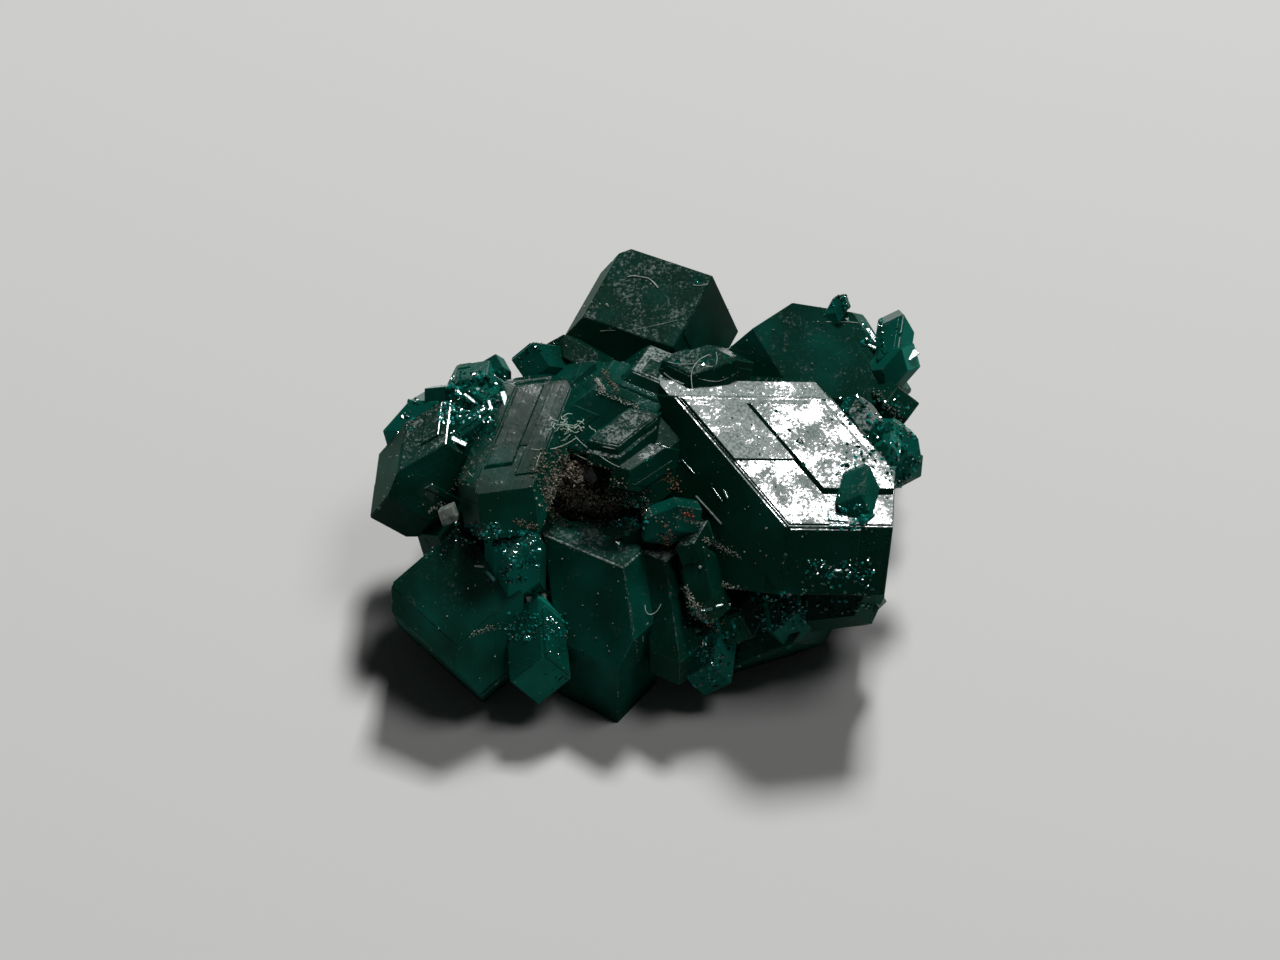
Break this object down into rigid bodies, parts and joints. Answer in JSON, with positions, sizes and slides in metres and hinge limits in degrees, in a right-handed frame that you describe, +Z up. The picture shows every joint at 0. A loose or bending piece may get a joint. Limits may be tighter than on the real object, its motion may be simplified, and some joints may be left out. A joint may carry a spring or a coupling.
{
  "type": "mineral specimen",
  "caption": "Cluster of intergrown dark green dioptase crystals, stepped, etched and partly dusted, on a sandy pocket of host rock; a display specimen that rests on its flat underside.",
  "frame": {"origin": "middle of the specimen's outline at the level it stands on", "axes": "+Z up; +X along the specimen's width, towards the big stepped crystal; +Y away from the front crystals"},
  "size_m": [0.024, 0.0208, 0.01],
  "materials": {
    "dioptase_green": "glassy, murky deep green crystal with dusty upper faces",
    "sandy_rock": "rough and sandy",
    "pale_mineral": "pale and dull"
  },
  "bodies": {
    "root": {"dioptase_crystals": "dioptase_green", "host_rock": "sandy_rock", "pale_grain": "pale_mineral"}
  },
  "joints": []
}
